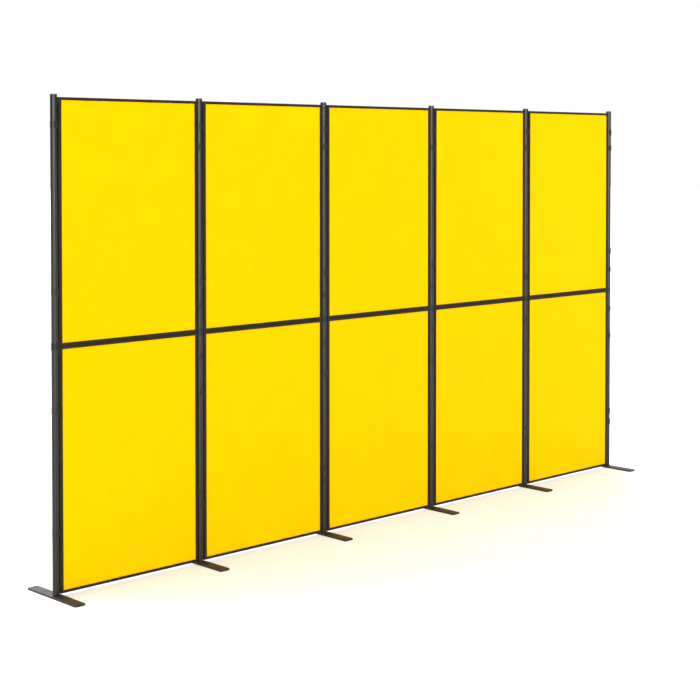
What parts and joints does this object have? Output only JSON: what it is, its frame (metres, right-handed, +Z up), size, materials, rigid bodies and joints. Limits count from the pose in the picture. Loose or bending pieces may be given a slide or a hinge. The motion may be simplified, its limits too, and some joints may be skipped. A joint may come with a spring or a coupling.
{
  "type": "pole and panel screen",
  "caption": "Free-standing screen of round poles on flat bar feet, with framed fabric boards clipped one above the other between the poles, so that each bay swings on its pole.",
  "frame": {"origin": "on the floor under the middle of the screen", "axes": "+X along the screen to the right, -Y its front, +Z up"},
  "size_m": [3.73, 0.35, 2.025],
  "materials": {
    "board_fabric": "loop fabric",
    "edge_trim": "extruded, fine ribs",
    "corner_trim": "moulded",
    "clip_plastic": "moulded",
    "pole_paint": "satin powder coat",
    "spigot_plastic": "moulded",
    "cap_plastic": "moulded",
    "foot_paint": "textured powder coat"
  },
  "bodies": {
    "bay_1": {"frame_upper_1": "edge_trim", "frame_lower_1": "edge_trim", "board_upper_1": "board_fabric", "board_lower_1": "board_fabric", "corners_1": "corner_trim", "clips_1": "clip_plastic"},
    "bay_2": {"frame_upper_2": "edge_trim", "frame_lower_2": "edge_trim", "board_upper_2": "board_fabric", "board_lower_2": "board_fabric", "corners_2": "corner_trim", "clips_2": "clip_plastic"},
    "bay_3": {"frame_upper_3": "edge_trim", "frame_lower_3": "edge_trim", "board_upper_3": "board_fabric", "board_lower_3": "board_fabric", "corners_3": "corner_trim", "clips_3": "clip_plastic"},
    "bay_4": {"frame_upper_4": "edge_trim", "frame_lower_4": "edge_trim", "board_upper_4": "board_fabric", "board_lower_4": "board_fabric", "corners_4": "corner_trim", "clips_4": "clip_plastic"},
    "bay_5": {"frame_upper_5": "edge_trim", "frame_lower_5": "edge_trim", "board_upper_5": "board_fabric", "board_lower_5": "board_fabric", "corners_5": "corner_trim", "clips_5": "clip_plastic"},
    "post_1": {"pole_lower_1": "pole_paint", "pole_upper_1": "pole_paint", "spigots_1": "spigot_plastic", "cap_1": "cap_plastic", "foot_1": "foot_paint"},
    "post_2": {"pole_lower_2": "pole_paint", "pole_upper_2": "pole_paint", "spigots_2": "spigot_plastic", "cap_2": "cap_plastic", "foot_2": "foot_paint"},
    "post_3": {"pole_lower_3": "pole_paint", "pole_upper_3": "pole_paint", "spigots_3": "spigot_plastic", "cap_3": "cap_plastic", "foot_3": "foot_paint"},
    "post_4": {"pole_lower_4": "pole_paint", "pole_upper_4": "pole_paint", "spigots_4": "spigot_plastic", "cap_4": "cap_plastic", "foot_4": "foot_paint"},
    "post_5": {"pole_lower_5": "pole_paint", "pole_upper_5": "pole_paint", "spigots_5": "spigot_plastic", "cap_5": "cap_plastic", "foot_5": "foot_paint"},
    "post_6": {"pole_lower_6": "pole_paint", "pole_upper_6": "pole_paint", "spigots_6": "spigot_plastic", "cap_6": "cap_plastic", "foot_6": "foot_paint"}
  },
  "joints": [
    {"name": "bay_2_swing", "type": "hinge", "parent": "bay_3", "child": "bay_2", "pos_m": [-0.368, 0, 1], "axis": [0, 0, 1], "range_deg": [-90, 90]},
    {"name": "bay_1_swing", "type": "hinge", "parent": "bay_2", "child": "bay_1", "pos_m": [-1.104, 0, 1], "axis": [0, 0, 1], "range_deg": [-90, 90]},
    {"name": "bay_4_swing", "type": "hinge", "parent": "bay_3", "child": "bay_4", "pos_m": [0.368, 0, 1], "axis": [0, 0, 1], "range_deg": [-90, 90]},
    {"name": "bay_5_swing", "type": "hinge", "parent": "bay_4", "child": "bay_5", "pos_m": [1.104, 0, 1], "axis": [0, 0, 1], "range_deg": [-90, 90]},
    {"name": "post_1_turn", "type": "hinge", "parent": "bay_1", "child": "post_1", "pos_m": [-1.84, 0, 1], "axis": [0, 0, 1], "continuous": true},
    {"name": "post_2_turn", "type": "hinge", "parent": "bay_2", "child": "post_2", "pos_m": [-1.104, 0, 1], "axis": [0, 0, 1], "continuous": true},
    {"name": "post_3_turn", "type": "hinge", "parent": "bay_3", "child": "post_3", "pos_m": [-0.368, 0, 1], "axis": [0, 0, 1], "continuous": true},
    {"name": "post_4_turn", "type": "hinge", "parent": "bay_3", "child": "post_4", "pos_m": [0.368, 0, 1], "axis": [0, 0, 1], "continuous": true},
    {"name": "post_5_turn", "type": "hinge", "parent": "bay_4", "child": "post_5", "pos_m": [1.104, 0, 1], "axis": [0, 0, 1], "continuous": true},
    {"name": "post_6_turn", "type": "hinge", "parent": "bay_5", "child": "post_6", "pos_m": [1.84, 0, 1], "axis": [0, 0, 1], "continuous": true}
  ]
}
